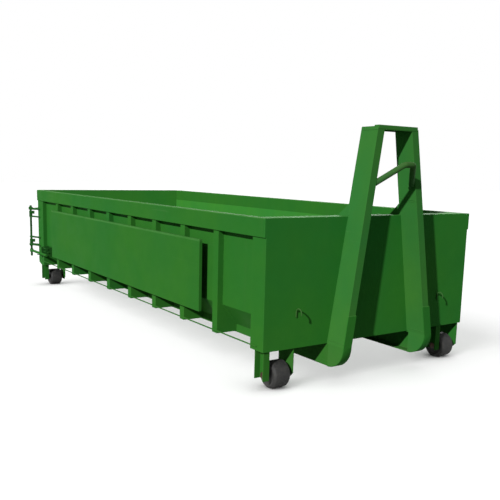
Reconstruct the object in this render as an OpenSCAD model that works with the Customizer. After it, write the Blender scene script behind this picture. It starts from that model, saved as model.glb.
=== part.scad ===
// Open-top roll-off container with a lifting hook frame, four floor rollers and one rear door.
// Millimetres, +X towards the hook frame, +Z up, origin on the floor below the middle of the box
// that holds the whole part. The left side is +Y, the right side is -Y.

/* [Body] */
// Length of the body, from the front plate to the rear face of the rear posts
body_l = 5940; // [4500:10:7000]
// Width of the body over the top rails
body_w = 2450; // [2200:10:2550]
// Height of the top of the rails above the floor
rail_top_z = 1430; // [1300:10:1500]
// Thickness of the side sheets
side_t = 4; // [3:0.5:6]
// Thickness of the floor plate
floor_t = 5; // [4:0.5:8]
// Thickness of the front plate
front_t = 5; // [4:0.5:8]
// Height at which the side sheets start to slope inwards
slope_top_z = 610; // [560:5:680]
// Width of the slope between each side sheet and the floor plate
slope_run = 150; // [120:5:180]

/* [Rails and posts] */
// Height of the top rails
rail_h = 155; // [120:5:180]
// Depth of the top rails, across the container
rail_d = 75; // [60:5:90]
// Wall thickness of rails and posts
tube_wall = 4; // [3:0.5:6]
// Step from the outer face of the rails back to the faces of ribs and posts
rail_lip = 14; // [8:1:20]
// Width of the front posts along the container
front_post_w = 180; // [150:5:240]
// Width of the rear posts along the container
rear_post_w = 232; // [215:1:250]
// Length of the cut-off lower rear corner of the rear posts
post_chamfer_l = 110; // [80:5:130]
// How far the feet of the rear posts reach below the front plate
post_foot_h = 28; // [15:1:40]
// Depth of the header box behind the top of the front plate
header_d = 150; // [100:5:200]
// Height of the header box
header_h = 100; // [60:5:140]

/* [Ribs and floor frame] */
// Number of ribs on each side
rib_count = 8; // [6:1:10]
// Width of a rib's outer face
rib_w = 84; // [60:1:100]
// Wall thickness of a rib
rib_wall = 4; // [3:0.5:6]
// Distance from the rear face of the rear posts to the middle of the first rib
rear_rib_inset = 875; // [500:5:1000]
// Distance from the front plate to the middle of the last rib
front_rib_inset = 757; // [500:1:900]
// Height of the rib feet above the underside of the floor frame
rib_foot_h = 10; // [0:1:20]
// Height of the cross members and of the floor's edge channels
cross_h = 75; // [60:5:90]
// Width of the cross members
cross_w = 80; // [60:5:90]
// Width of the floor's edge channels
edge_w = 45; // [35:1:60]
// Wall thickness of cross members, edge channels and sills
frame_wall = 5; // [4:0.5:8]
// Diameter of the lashing rail along the feet of the ribs
lash_d = 12; // [10:1:16]
// Height of the middle of the lashing rail
lash_z = 376; // [365:1:400]

/* [Skid beams] */
// Distance between the outer faces of the two skid beams
beam_span = 1060; // [960:10:1120]
// Height of the skid beams' underside above the floor
beam_bottom_z = 140; // [130:5:150]
// Height of the skid beams
beam_h = 200; // [190:5:210]
// Flange width of the skid beams
beam_w = 76; // [70:1:90]
// Flange thickness of the skid beams
beam_flange = 11; // [8:0.5:14]
// Web thickness of the skid beams
beam_web = 9; // [6:0.5:12]

/* [Hook frame] */
// Height of the top of the hook frame above the axis of the hook bar
frame_over_bow = 313; // [280:1:350]
// Distance between the outer faces of the legs at their tops
frame_top_w = 470; // [440:2:540]
// How far the legs stand out of the front plate at their foot
leg_foot_reach = 209; // [200:1:240]
// How far the legs stand out of the front plate's plane at their top
leg_top_reach = 176; // [165:1:190]
// Wall thickness of the legs
leg_wall = 8; // [6:0.5:12]
// Thickness of the wear plate around the foot
shoe_t = 8; // [6:1:10]
// Height of the top edge of the wear plate
shoe_plate_z = 610; // [500:5:700]
// How far the wear plate stands over each side of the leg
shoe_lip = 8; // [4:1:12]
// Height of the crossbar that closes the top of the frame
crossbar_h = 30; // [25:1:50]
// Thickness of the crossbar's plates
crossbar_wall = 10; // [6:1:14]
// How far the legs' outer plates, which rise beside the crossbar, stay below its top
ear_drop = 13; // [8:1:20]
// Radius of the rear corner of those plates
ear_r = 12; // [6:1:15]
// Height at which the gussets meet the rear edge of the legs
gusset_top_z = 1560; // [1520:5:1600]
// Thickness of the gussets' plates
gusset_wall = 8; // [6:1:10]
// How far the gussets stand back from both sides of the legs
gusset_inset = 8; // [0:1:12]

/* [Hook bow] */
// Diameter of the hook bar
bow_d = 50; // [45:1:55]
// How far the axis of the bar stands out of the front plate at its tip
bow_reach = 315; // [300:1:350]
// Height of the axis of the bar at its tip
bow_z = 1872; // [1780:1:1960]
// Angle at which the bar's plane rises towards its tip
bow_pitch = 44; // [40:1:48]
// Distance in that plane from the bar's roots in the legs to the axis of its tip
bow_length = 250; // [240:5:265]
// Length of the straight stretch at the tip
bow_tip_w = 50; // [40:1:70]
// Bend radius of the bar's axis at the ends of that stretch
bow_bend_r = 50; // [40:1:65]

/* [Rollers] */
// Diameter of the rollers
roller_d = 232; // [220:1:240]
// Width of the rollers
roller_w = 170; // [160:1:180]
// Bevel on the edges of the rollers
roller_bevel = 18; // [8:1:25]
// Depth of the hollow in the sides of the rollers
roller_dish = 6; // [3:1:10]
// Distance from the front plate back to the front rollers' axis
front_roller_x = 95; // [90:1:105]
// Distance from the rear face of the posts to the rear rollers' axis
rear_roller_x = 95; // [90:1:105]
// Diameter of the roller axles
axle_d = 40; // [35:1:50]
// Gap that stays between a roller that has slid to its channel and the channel
slide_gap = 5.5; // [5:0.5:8]

/* [Roller forks] */
// Distance from the faces of the left ribs in to the middle of the left forks
fork_inset_left = 151; // [140:1:165]
// Distance from the faces of the right ribs in to the middle of the right forks
fork_inset_right = 201; // [195:1:215]
// Clear width of a fork, between its channel and its plate
fork_w = 241; // [230:1:245]
// Depth of the channels, across the container
channel_d = 62; // [50:1:64]
// Wall thickness of the channels
channel_wall = 8; // [6:1:10]
// Length of the front channels along the container
front_channel_l = 127; // [120:1:150]
// Length of the rear channels along the container
rear_channel_l = 150; // [140:1:160]
// Distance from the rear face of the posts to the rear channels
rear_channel_gap = 55; // [45:1:58]
// Height of the channels' lower ends
channel_bottom_z = 90; // [80:1:110]
// Length of the fork plates along the container
plate_l = 200; // [180:5:210]
// Thickness of the fork plates
plate_t = 10; // [8:1:12]
// Height of the lower edge of the fork plates
plate_bottom_z = 76; // [65:1:85]
// Cut-off lower corners of the fork plates
plate_corner = 45; // [30:1:50]
// Distance from either end of the body to the fork plates and to the front channels
fork_end_gap = 15; // [10:1:20]

/* [Rear door] */
// Thickness of the door
door_t = 70; // [60:5:80]
// Height of the door's lower edge
door_bottom_z = 365; // [350:5:400]
// Gap between the closed door and the rear posts
door_gap = 8; // [6:1:12]
// Thickness of the door sheet
door_sheet_t = 4; // [3:0.5:6]
// Width of the rim and the bars of the door frame
door_bar_w = 80; // [60:5:100]
// Distance from the faces of the ribs out to the hinge axis and to the lock shaft
hinge_proud = 69; // [60:1:80]
// Distance from the rear face of the posts back to the hinge axis
hinge_back = 150; // [145:1:165]
// Distance from the hinge axis and the lock shaft to the edges of the door
door_edge_gap = 90; // [80:1:100]
// Diameter of the hinge rod and of the lock shaft
rod_d = 32; // [26:1:36]
// Height of the lower end of hinge rod and lock shaft
rod_bottom_z = 420; // [400:1:450]
// Height of the upper end of hinge rod and lock shaft
rod_top_z = 1192; // [1190:1:1220]
// Height of the middle of the lower hinge
low_hinge_z = 656; // [640:1:690]
// Height of the middle of the upper hinge
high_hinge_z = 1087; // [1050:1:1100]
// Length of the lock lever, from the shaft to its tip
lever_l = 725; // [600:5:780]
// Diameter of the lock lever
lever_d = 36; // [30:1:40]
// Height of the lock lever
lever_z = 503; // [485:1:515]

/* [Side boards] */
// Distance from the front plate back to the front edge of the side boards
board_front = 954; // [900:1:1100]
// Distance from the rear face of the posts to the rear edge of the side boards
board_rear = 790; // [700:5:820]
// Height of the lower edge of the side boards
board_bottom_z = 510; // [505:5:560]
// Height of the upper edge of the side boards
board_top_z = 1172; // [1100:1:1230]
// Distance between a board's outer face and the faces of the ribs
board_standoff = 54; // [45:1:58]
// Sheet thickness of the side boards
board_t = 3; // [2:0.5:5]
// Width of the folded edges of the side boards
board_fold = 30; // [20:1:36]

/* [Rope hooks] */
// Distance from the face of the left ribs in to the left rope hook
rope_hook_inset_left = 380; // [350:1:450]
// Distance from the face of the right ribs in to the right rope hook
rope_hook_inset_right = 325; // [300:1:400]
// Height of the rope hooks' lower ends on the front plate
rope_hook_z = 607; // [500:1:700]
// Diameter of the rope hooks' bar
rope_hook_d = 12; // [10:1:16]
// Bend radius of that bar's axis
rope_hook_r = 35; // [30:1:40]
// Length of the bar's stretch on the plate
rope_hook_rise = 40; // [30:1:60]
// Length of the bar's straight free end
rope_hook_end = 17; // [10:1:25]

/* [Hidden] */
// Curve resolution, and the clearances that every fit uses
$fn = 48;
touch_gap = 0.3;
run_gap = 0.1;
cut = 1;

// Places across the container
half_w = body_w / 2;
face_y = half_w - rail_lip;
hinge_y = face_y + hinge_proud;
sheet_y = half_w - rail_d;
sheet_out_y = sheet_y + side_t;
floor_half_w = sheet_y - slope_run;
beam_out_y = beam_span / 2;
beam_in_y = beam_out_y - beam_w;

// Heights
rail_bottom_z = rail_top_z - rail_h;
base_z = beam_bottom_z + beam_h;
floor_bottom_z = base_z + cross_h;
floor_top_z = floor_bottom_z + floor_t;
post_foot_z = base_z - post_foot_h;
frame_top_z = bow_z + frame_over_bow;

// Places along the container: front_x is the outer plane of the front plate, and the rear posts
// end at rear_x. The part reaches past them by the hook bar and by the hinge eyes.
eye_r = rod_d / 2 + 10;
nose = bow_reach + bow_d / 2;
rear_reach = hinge_back + eye_r;
front_x = (body_l + nose + rear_reach) / 2 - nose;
rear_x = front_x - body_l;
plate_back_x = front_x - front_t;
rib_pitch = (body_l - rear_rib_inset - front_rib_inset) / (rib_count - 1);
rib_x = [for (i = [0 : rib_count - 1]) rear_x + rear_rib_inset + i * rib_pitch];

// The slope of a side sheet: its fall, and the part of its outward normal across and up
slope_fall = slope_top_z - floor_top_z;
slope_len = norm([slope_run, slope_fall]);
slope_n = [slope_fall / slope_len, -slope_run / slope_len];
// Height of the slope's outer face at a distance y from the mid-plane
function slope_out_z(y) = slope_top_z + side_t * slope_n[1]
    + (y - sheet_y - side_t * slope_n[0]) * slope_fall / slope_run;

// The legs lean inwards and back: half the frame's outer width, and the legs' reach, at a height
leg_w = beam_w;
frame_h = frame_top_z - base_z;
lean = (beam_out_y - frame_top_w / 2) / frame_h;
taper = (leg_foot_reach - leg_top_reach) / frame_h;
shoe_r = beam_h - shoe_t;
shoe_x = front_x + leg_foot_reach - shoe_r;
function leg_out_y(z) = beam_out_y - (z - base_z) * lean;
function leg_front_x(z) = front_x + leg_foot_reach - (z - base_z) * taper;

// The hook bar lies in a plane that rises forwards from its two ends
bow_root_z = bow_z - bow_length * sin(bow_pitch);
bow_root_reach = bow_reach - bow_length * cos(bow_pitch);

// Door, hinge rod and lock shaft
hinge_x = rear_x - hinge_back;
door_front_x = rear_x - door_gap;
door_back_x = door_front_x - door_t;
door_half_w = hinge_y - door_edge_gap;
eye_z = [low_hinge_z, high_hinge_z];
eye_h = 60;
lug_pitch = 60;
lug_t = 20;
collar_r = rod_d / 2 + 8;

// Rollers and their forks. A left roller has slid along its axle to its channel.
roller_r = roller_d / 2;
front_axle_x = front_x - front_roller_x;
rear_axle_x = rear_x + rear_roller_x;
fork_left_y = face_y - fork_inset_left;
fork_right_y = fork_inset_right - face_y;
roller_left_y = fork_left_y - fork_w / 2 + slide_gap + roller_w / 2;
roller_right_y = fork_right_y;

// Side boards
board_rear_x = rear_x + board_rear;
board_l = body_l - board_rear - board_front;
board_out_y = face_y + board_standoff;

green = [0.21, 0.48, 0.18];
dark = [0.15, 0.15, 0.15];

// Helpers. A profile drawn as (across, up) runs along X, one drawn as (along, up) runs along Y.
module along_x(x0, length) {
    translate([x0, 0, 0]) rotate([90, 0, 90]) linear_extrude(length) children();
}

module along_y(y0, length) {
    translate([0, y0 + length, 0]) rotate([90, 0, 0]) linear_extrude(length) children();
}

// What is drawn for the left side, moved to the right side
module right_side() {
    mirror([0, 1, 0]) children();
}

module both_sides() {
    children();
    right_side() children();
}

// A box tube that lies across the container, from y0 to y1
module cross_tube(x0, y0, y1, z0, width, height, wall) {
    translate([x0, y0, z0]) difference() {
        cube([width, y1 - y0, height]);
        translate([wall, -cut, wall])
            cube([width - 2 * wall, y1 - y0 + 2 * cut, height - 2 * wall]);
    }
}

// Floor, sheets and front
module floor_plate() {
    color(green)
    translate([rear_x, -floor_half_w, floor_bottom_z])
        cube([body_l - front_t, 2 * floor_half_w, floor_t]);
}

module side_sheet() {
    color(green)
    along_x(rear_x, body_l - front_t)
        polygon([
            [sheet_y, rail_bottom_z], [sheet_y, slope_top_z], [floor_half_w, floor_top_z],
            [floor_half_w, slope_out_z(floor_half_w)], [sheet_out_y, slope_out_z(sheet_out_y)],
            [sheet_out_y, rail_bottom_z]
        ]);
}

// The front plate steps out to the full width over the ends of the rails
module front_plate() {
    color(green)
    along_x(plate_back_x, front_t)
        polygon([
            [-face_y, base_z], [face_y, base_z], [face_y, rail_bottom_z], [half_w, rail_bottom_z],
            [half_w, rail_top_z], [-half_w, rail_top_z], [-half_w, rail_bottom_z],
            [-face_y, rail_bottom_z]
        ]);
}

module front_header() {
    color(green)
    cross_tube(plate_back_x - header_d, -sheet_y, sheet_y, rail_top_z - header_h, header_d,
        header_h, tube_wall);
}

module sill(x0, width) {
    color(green)
    cross_tube(x0, -floor_half_w, floor_half_w, base_z, width, cross_h, frame_wall);
}

// A rail is open at its front end, which the front plate closes
module top_rail() {
    rail_l = body_l - front_t;
    color(green)
    translate([rear_x, sheet_y, rail_bottom_z]) difference() {
        cube([rail_l, rail_d, rail_h]);
        translate([tube_wall, tube_wall, tube_wall])
            cube([rail_l, rail_d - 2 * tube_wall, rail_h - 2 * tube_wall]);
    }
}

// Front view of a channel that stands on a side sheet, inset by a wall. Its foot widens inwards
// below the slope, as far as the floor's edge.
module sheet_channel(foot_z, w) {
    open = w > 0 ? cut : 0;
    in_y = floor_half_w - open;
    out_y = sheet_out_y - open;
    polygon([
        [out_y, rail_bottom_z + open], [face_y - w, rail_bottom_z + open], [face_y - w, foot_z + w],
        [in_y, foot_z + w], [in_y, slope_out_z(in_y)], [out_y, slope_out_z(out_y)]
    ]);
}

// The front plate closes the front end of the front post
module front_post() {
    color(green)
    translate([plate_back_x - front_post_w, 0, 0]) difference() {
        along_x(0, front_post_w) sheet_channel(base_z, 0);
        along_x(tube_wall, front_post_w) sheet_channel(base_z, tube_wall);
    }
}

// The rear post has its lower rear corner cut off. The block is drawn inset by a wall.
module rear_post_block(w) {
    chamfer_x = rear_x + post_chamfer_l;
    front_edge_x = rear_x + rear_post_w;
    high_z = rail_bottom_z + 2 * cut;
    intersection() {
        along_x(rear_x - cut, rear_post_w + 2 * cut) sheet_channel(post_foot_z, w);
        along_y(0, half_w)
            polygon([
                [rear_x + w, high_z], [rear_x + w, base_z + w], [chamfer_x, post_foot_z + w],
                [front_edge_x - w, post_foot_z + w], [front_edge_x - w, high_z]
            ]);
    }
}

module rear_post() {
    color(green)
    difference() {
        rear_post_block(0);
        rear_post_block(tube_wall);
    }
}

module side_rib() {
    w = rib_wall;
    foot_z = base_z + rib_foot_h;
    difference() {
        along_x(-rib_w / 2, rib_w) sheet_channel(foot_z, 0);
        along_x(-rib_w / 2 + w, rib_w - 2 * w) sheet_channel(foot_z, w);
    }
}

module side_ribs() {
    color(green)
    for (x = rib_x) translate([x, 0, 0]) side_rib();
}

// Floor frame: cross members between two edge channels, on top of the skid beams
module cross_members() {
    in_y = floor_half_w - edge_w;
    color(green)
    for (x = rib_x) cross_tube(x - cross_w / 2, -in_y, in_y, base_z, cross_w, cross_h, frame_wall);
}

module floor_edge() {
    w = frame_wall;
    in_y = floor_half_w - edge_w;
    x0 = rear_x + rear_post_w;
    color(green)
    along_x(x0, plate_back_x - front_post_w - x0)
        polygon([
            [floor_half_w, base_z], [floor_half_w, floor_bottom_z], [in_y, floor_bottom_z],
            [in_y, floor_bottom_z - w], [floor_half_w - w, floor_bottom_z - w],
            [floor_half_w - w, base_z + w], [in_y, base_z + w], [in_y, base_z]
        ]);
}

// A skid beam is a channel with its web on the outside. Its front end butts against the foot.
module skid_beam() {
    web_y = beam_out_y - beam_web;
    low_z = beam_bottom_z + beam_flange;
    high_z = base_z - beam_flange;
    color(green)
    along_x(rear_x, shoe_x - rear_x)
        polygon([
            [beam_out_y, beam_bottom_z], [beam_out_y, base_z], [beam_in_y, base_z],
            [beam_in_y, high_z], [web_y, high_z], [web_y, low_z], [beam_in_y, low_z],
            [beam_in_y, beam_bottom_z]
        ]);
}

// Hook frame. A leg is what its front view and its side view have in common.
// Front view of a leg between two heights, narrower on each side by a wall
module leg_front(low_z, high_z, wall) {
    along_x(front_x - header_d, nose + header_d)
        polygon([
            [leg_out_y(low_z) - wall, low_z], [leg_out_y(high_z) - wall, high_z],
            [leg_out_y(high_z) - leg_w + wall, high_z], [leg_out_y(low_z) - leg_w + wall, low_z]
        ]);
}

// Side view of a leg, drawn inset by a wall and longer than the leg
module leg_side(wall) {
    low_z = base_z - leg_w;
    high_z = frame_top_z + leg_w;
    along_y(0, half_w)
        polygon([
            [front_x + wall, low_z], [leg_front_x(low_z) - wall, low_z],
            [leg_front_x(high_z) - wall, high_z], [front_x + wall, high_z]
        ]);
}

module hook_leg() {
    leg_top_z = frame_top_z - crossbar_h;
    color(green) {
        difference() {
            intersection() {
                leg_front(base_z, leg_top_z, 0);
                leg_side(0);
            }
            intersection() {
                leg_front(base_z + leg_wall, leg_top_z + cut, leg_wall);
                leg_side(leg_wall);
            }
        }
        leg_ear(leg_top_z);
        leg_foot();
    }
}

// The outer plate of a leg rises beside the end of the crossbar, with its rear corner rounded
module leg_ear(low_z) {
    high_z = frame_top_z - ear_drop;
    difference() {
        intersection() {
            along_x(front_x, leg_foot_reach)
                polygon([
                    [leg_out_y(low_z), low_z], [leg_out_y(high_z), high_z],
                    [leg_out_y(high_z) - leg_wall, high_z], [leg_out_y(low_z) - leg_wall, low_z]
                ]);
            leg_side(0);
        }
        difference() {
            translate([front_x - cut, 0, high_z - ear_r]) cube([ear_r + cut, half_w, ear_r + cut]);
            along_y(-cut, half_w + 2 * cut) translate([front_x + ear_r, high_z - ear_r])
                circle(r = ear_r);
        }
    }
}

// Below the front plate the leg turns under in a quarter circle, down to the skid beam
module leg_foot() {
    intersection() {
        along_y(beam_in_y, leg_w) translate([shoe_x, base_z]) circle(r = shoe_r);
        translate([shoe_x, beam_in_y - cut, base_z - shoe_r])
            cube([shoe_r, leg_w + 2 * cut, shoe_r]);
    }
}

// The wear plate wraps around the foot and runs up the front of the leg
module leg_shoe() {
    plate_w = leg_w + 2 * shoe_lip;
    color(green) {
        intersection() {
            along_y(beam_in_y - shoe_lip, plate_w) translate([shoe_x, base_z]) difference() {
                circle(r = shoe_r + shoe_t);
                circle(r = shoe_r + touch_gap);
            }
            translate([shoe_x, beam_in_y - shoe_lip - cut, base_z - shoe_r - shoe_t])
                cube([shoe_r + shoe_t, plate_w + 2 * cut, shoe_r + shoe_t]);
        }
        intersection() {
            leg_front(base_z, shoe_plate_z, -shoe_lip);
            front_strip();
        }
    }
}

// Side view of the straight part of the wear plate, longer than the plate at both ends
module front_strip() {
    low_z = base_z - leg_w;
    high_z = shoe_plate_z + leg_w;
    along_y(0, half_w)
        polygon([
            [leg_front_x(low_z) + touch_gap, low_z], [leg_front_x(low_z) + shoe_t, low_z],
            [leg_front_x(high_z) + shoe_t, high_z], [leg_front_x(high_z) + touch_gap, high_z]
        ]);
}

// Side view of a gusset between the leg's rear edge and the top of the header
module gusset_side(wall) {
    low_z = rail_top_z;
    slope = (gusset_top_z - low_z) / header_d;
    low_x = front_x - header_d;
    along_y(0, half_w)
        polygon([
            [low_x + wall, low_z - leg_w], [low_x + wall, low_z],
            [front_x, gusset_top_z - wall * slope], [front_x, low_z - leg_w]
        ]);
}

module hook_gusset() {
    difference() {
        intersection() {
            leg_front(rail_top_z, gusset_top_z, gusset_inset);
            gusset_side(0);
        }
        intersection() {
            leg_front(rail_top_z - cut, gusset_top_z, gusset_inset + gusset_wall);
            gusset_side(gusset_wall);
        }
    }
}

module hook_gussets() {
    color(green) both_sides() hook_gusset();
}

// The crossbar is a shallow channel, open below between the legs. Its slanted ends stand between
// the legs' outer plates.
module hook_crossbar() {
    low_z = frame_top_z - crossbar_h;
    low_y = leg_out_y(low_z) - leg_wall;
    high_y = leg_out_y(frame_top_z) - 1.5 * leg_wall;
    in_y = leg_out_y(low_z) - leg_w;
    w = crossbar_wall;
    color(green)
    difference() {
        along_x(front_x, leg_top_reach)
            polygon([
                [-low_y, low_z], [low_y, low_z], [high_y, frame_top_z], [-high_y, frame_top_z]
            ]);
        translate([front_x + w, -in_y, low_z - cut])
            cube([leg_top_reach - 2 * w, 2 * in_y, crossbar_h - w + cut]);
    }
}

// The hook bar is a bent round bar: two arms, two bends and a short straight tip. Each arm is a
// tangent from its root to the bend's circle, with the bend set to a whole degree, and the end of
// the arm is cut along the leg's inner face.
module hook_bow() {
    root_y = leg_out_y(bow_root_z) - leg_w;
    a = bow_length - bow_bend_r;
    b = root_y - bow_tip_w / 2;
    bend = round(atan(a / b) + asin(bow_bend_r / norm([a, b])));
    arm_l = sqrt(pow(a, 2) + pow(b, 2) - pow(bow_bend_r, 2));
    color(green)
    difference() {
        translate([front_x + bow_root_reach, 0, bow_root_z]) rotate([0, -bow_pitch, 0]) {
            translate([bow_length, bow_tip_w / 2, 0]) rotate([90, 0, 0])
                cylinder(d = bow_d, h = bow_tip_w);
            for (s = [0, 1]) mirror([0, s, 0])
                translate([a, bow_tip_w / 2, 0]) {
                    rotate_extrude(angle = bend) translate([bow_bend_r, 0]) circle(d = bow_d);
                    rotate([0, 0, bend]) translate([bow_bend_r, 0, 0]) rotate([-90, 0, 0])
                        cylinder(d = bow_d, h = arm_l + bow_d);
                }
        }
        both_sides() along_x(front_x, nose)
            polygon([
                [leg_out_y(base_z) - leg_w, base_z], [half_w, base_z], [half_w, frame_top_z],
                [leg_out_y(frame_top_z) - leg_w, frame_top_z]
            ]);
    }
}

// Side boards: shallow folded pans on spacers in front of the ribs
module side_board() {
    w = board_t;
    pan_y = board_out_y - board_fold;
    spacer_w = 40;
    color(green) {
        difference() {
            along_y(pan_y, board_fold) board_outline(0);
            along_y(pan_y - cut, board_fold - w + cut) board_outline(w);
        }
        for (x = rib_x)
            if (x - spacer_w > board_rear_x && x + spacer_w < board_rear_x + board_l)
                board_spacer(x - spacer_w / 2, spacer_w);
    }
}

module board_outline(inset) {
    translate([board_rear_x + inset, board_bottom_z + inset])
        square([board_l - 2 * inset, board_top_z - board_bottom_z - 2 * inset]);
}

// A spacer is a channel that stands on the face of a rib and carries the board's sheet
module board_spacer(x0, width) {
    w = board_t;
    margin = 40;
    depth = board_out_y - w - face_y;
    height = board_top_z - board_bottom_z - 2 * margin;
    translate([x0, face_y, board_bottom_z + margin]) difference() {
        cube([width, depth, height]);
        translate([w, -cut, -cut]) cube([width - 2 * w, depth - w + cut, height + 2 * cut]);
    }
}

// Lashing rails along the feet of the ribs, and rope hooks on the front plate
module lashing_rails() {
    x0 = rear_x + rear_post_w / 2;
    color(green)
    both_sides() translate([x0, face_y + lash_d / 2, lash_z]) rotate([0, 90, 0])
        cylinder(d = lash_d, h = front_x - front_post_w / 2 - x0);
}

// A rope hook is a bar that lies on the front plate, turns outwards over in a half circle and ends
// a little below the bend. It has a flat where it meets the plate.
module rope_hook(y) {
    r = rope_hook_r;
    d = rope_hook_d;
    flat_depth = 1;
    translate([front_x, y, rope_hook_z]) difference() {
        translate([d / 2 - flat_depth, 0, 0]) {
            cylinder(d = d, h = rope_hook_rise);
            translate([r, 0, rope_hook_rise]) rotate([90, 0, 0])
                rotate_extrude(angle = 180) translate([r, 0]) circle(d = d);
            translate([2 * r, 0, rope_hook_rise - rope_hook_end])
                cylinder(d = d, h = rope_hook_end);
        }
        translate([-d, -d, -d]) cube([d, 2 * d, rope_hook_rise + r + 2 * d]);
    }
}

module rope_hooks() {
    color(green) {
        rope_hook(face_y - rope_hook_inset_left);
        rope_hook(rope_hook_inset_right - face_y);
    }
}

// A roller fork is drawn around the mid-plane. On the right-hand side of the roller it has a
// channel that is open outwards, on the other side a plate with its lower corners cut off.
module roller_fork(axle_x, channel_x, channel_l, plate_x) {
    w = channel_wall;
    channel_h = base_z - channel_bottom_z;
    difference() {
        union() {
            translate([channel_x, -fork_w / 2 - channel_d, channel_bottom_z]) difference() {
                cube([channel_l, channel_d, channel_h]);
                translate([w, -w, -cut]) cube([channel_l - 2 * w, channel_d, channel_h + 2 * cut]);
            }
            along_y(fork_w / 2, plate_t) translate([plate_x, plate_bottom_z])
                polygon([
                    [0, base_z - plate_bottom_z], [0, plate_corner], [plate_corner, 0],
                    [plate_l - plate_corner, 0], [plate_l, plate_corner],
                    [plate_l, base_z - plate_bottom_z]
                ]);
        }
        translate([axle_x, fork_w / 2 + plate_t + cut, roller_r]) rotate([90, 0, 0])
            cylinder(d = axle_d + 2 * run_gap, h = fork_w + plate_t + w + 2 * cut);
    }
}

module at_forks() {
    for (y = [fork_left_y, fork_right_y]) translate([0, y, 0]) children();
}

module front_roller_brackets() {
    end_x = front_x - fork_end_gap;
    color(green)
    at_forks() roller_fork(front_axle_x, end_x - front_channel_l, front_channel_l, end_x - plate_l);
}

// The rear forks end below the rear posts
module rear_roller_brackets() {
    color(green)
    difference() {
        at_forks() roller_fork(rear_axle_x, rear_x + rear_channel_gap, rear_channel_l,
            rear_x + fork_end_gap);
        both_sides() rear_post_block(0);
    }
}

// An axle is a pin with a spacer ring on each side of the roller and a washer outside the fork
module roller_axle(axle_x, fork_y, roller_y) {
    end_gap = 1;
    washer_t = 5;
    channel_y = fork_y - fork_w / 2;
    plate_y = fork_y + fork_w / 2;
    roller_in = roller_y - roller_w / 2;
    roller_out = roller_y + roller_w / 2;
    pin_y = channel_y - channel_wall - washer_t;
    pin_l = fork_w + channel_wall + plate_t + 2 * washer_t;
    translate([axle_x, 0, roller_r]) {
        translate([0, pin_y, 0]) rotate([-90, 0, 0]) cylinder(d = axle_d, h = pin_l);
        axle_ring(pin_y, washer_t - touch_gap);
        axle_ring(channel_y + touch_gap, roller_in - end_gap - channel_y - touch_gap);
        axle_ring(roller_out + end_gap, plate_y - touch_gap - roller_out - end_gap);
        axle_ring(plate_y + plate_t + touch_gap, washer_t - touch_gap);
    }
}

module axle_ring(y, h) {
    ring_t = 10;
    translate([0, y, 0]) rotate([-90, 0, 0]) cylinder(r = axle_d / 2 + ring_t, h = h);
}

module roller_axles() {
    color(dark)
    for (x = [front_axle_x, rear_axle_x]) {
        roller_axle(x, fork_left_y, roller_left_y);
        roller_axle(x, fork_right_y, roller_right_y);
    }
}

// A roller is a solid of revolution with bevelled edges, dished sides and a bore for its axle
module roller(axle_x, y) {
    hub_t = 16;
    rim_t = 10;
    bore_r = axle_d / 2 + run_gap;
    hub_r = axle_d / 2 + hub_t;
    rim_r = roller_r - roller_bevel - rim_t;
    h = roller_w / 2;
    color(dark)
    translate([axle_x, y, roller_r]) rotate([90, 0, 0]) rotate_extrude($fn = 96)
        polygon([
            [bore_r, -h], [hub_r, -h], [hub_r + roller_dish, roller_dish - h],
            [rim_r - roller_dish, roller_dish - h], [rim_r, -h], [roller_r - roller_bevel, -h],
            [roller_r, roller_bevel - h], [roller_r, h - roller_bevel], [roller_r - roller_bevel, h],
            [rim_r, h], [rim_r - roller_dish, h - roller_dish], [hub_r + roller_dish, h - roller_dish],
            [hub_r, h], [bore_r, h]
        ]);
}

// Rear door. It hangs on the left side, and its lock shaft stands on the right side.
module door_sheet() {
    color(green)
    translate([door_front_x - door_sheet_t, -door_half_w, door_bottom_z])
        cube([door_sheet_t, 2 * door_half_w, rail_top_z - door_bottom_z]);
}

// The rim and the bars of the door frame as seen from behind, each narrower by an inset
module door_grid(inset) {
    h = rail_top_z - door_bottom_z;
    w = door_bar_w - 2 * inset;
    bars_across = [0, (h - door_bar_w) / 3, 2 * (h - door_bar_w) / 3, h - door_bar_w];
    bars_up = [0, door_half_w - door_bar_w / 2, 2 * door_half_w - door_bar_w];
    for (z = bars_across)
        translate([-door_half_w + inset, door_bottom_z + z + inset])
            square([2 * door_half_w - 2 * inset, w]);
    for (y = bars_up)
        translate([y - door_half_w + inset, door_bottom_z + inset]) square([w, h - 2 * inset]);
}

module door_frame() {
    depth = door_t - door_sheet_t;
    color(green)
    difference() {
        along_x(door_back_x, depth) door_grid(0);
        along_x(door_back_x + tube_wall, depth) door_grid(tube_wall);
    }
}

// One hinge: an eye around the rod and an arm that lies on the back of the door
module door_hinge(z) {
    pad_l = 210;
    pad_h = 90;
    pad_t = 8;
    arm_root = 40;
    arm_in_y = door_half_w - pad_l;
    arm_x = hinge_x - 0.8 * eye_r;
    pad_x = door_back_x - pad_t;
    difference() {
        union() {
            translate([hinge_x, hinge_y, z - eye_h / 2]) cylinder(r = eye_r, h = eye_h);
            translate([0, 0, z - lug_t / 2]) linear_extrude(lug_t)
                polygon([
                    [arm_x, hinge_y], [arm_x, hinge_y - arm_root], [pad_x, arm_in_y],
                    [pad_x, door_half_w], [hinge_x + 0.8 * eye_r, hinge_y]
                ]);
            translate([pad_x, arm_in_y, z - pad_h / 2]) cube([pad_t, pad_l, pad_h]);
        }
        translate([hinge_x, hinge_y, z - pad_h])
            cylinder(d = rod_d + 2 * run_gap, h = 2 * pad_h);
    }
}

module door_hinges() {
    color(green) for (z = eye_z) door_hinge(z);
}

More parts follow.
